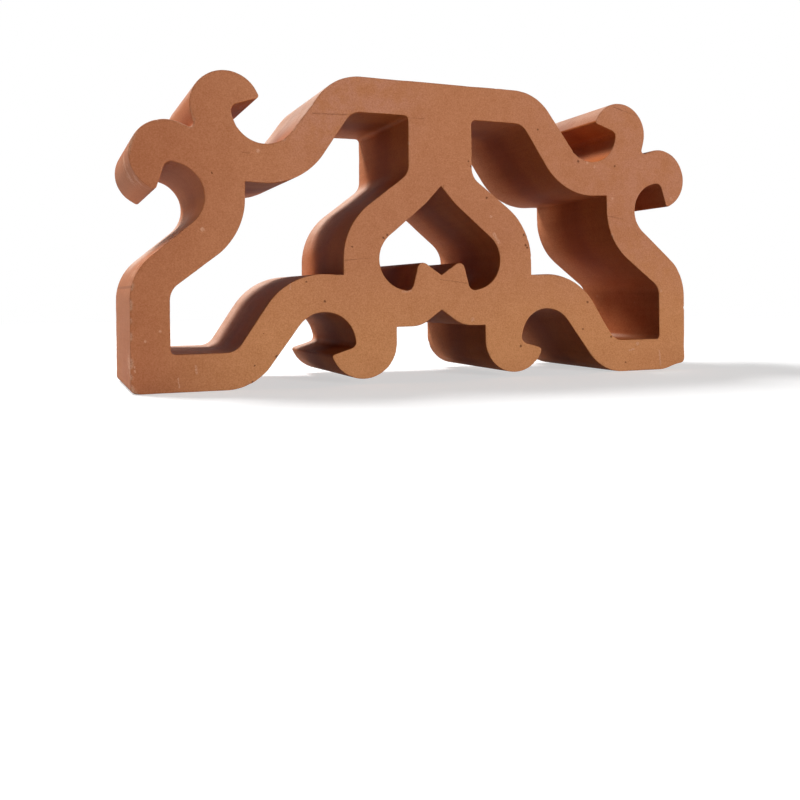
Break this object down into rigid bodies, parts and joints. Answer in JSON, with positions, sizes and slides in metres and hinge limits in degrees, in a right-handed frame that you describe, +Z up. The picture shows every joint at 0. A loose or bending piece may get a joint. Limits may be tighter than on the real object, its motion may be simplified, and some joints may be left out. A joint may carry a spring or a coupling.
{
  "type": "terracotta breeze block",
  "caption": "Pierced terracotta screen block, extruded and wire-cut: scrolled corners, a heart in the middle and a curved opening on each side.",
  "frame": {"origin": "centre of the footprint, on the floor the feet stand on", "axes": "+X along the width, +Y along the depth from the front face to the back, +Z up from the feet to the top bar"},
  "size_m": [0.3, 0.08, 0.15],
  "materials": {
    "terracotta": "unglazed fired clay, matt, wire-cut on the front and back"
  },
  "bodies": {
    "root": {"block": "terracotta"}
  },
  "joints": []
}
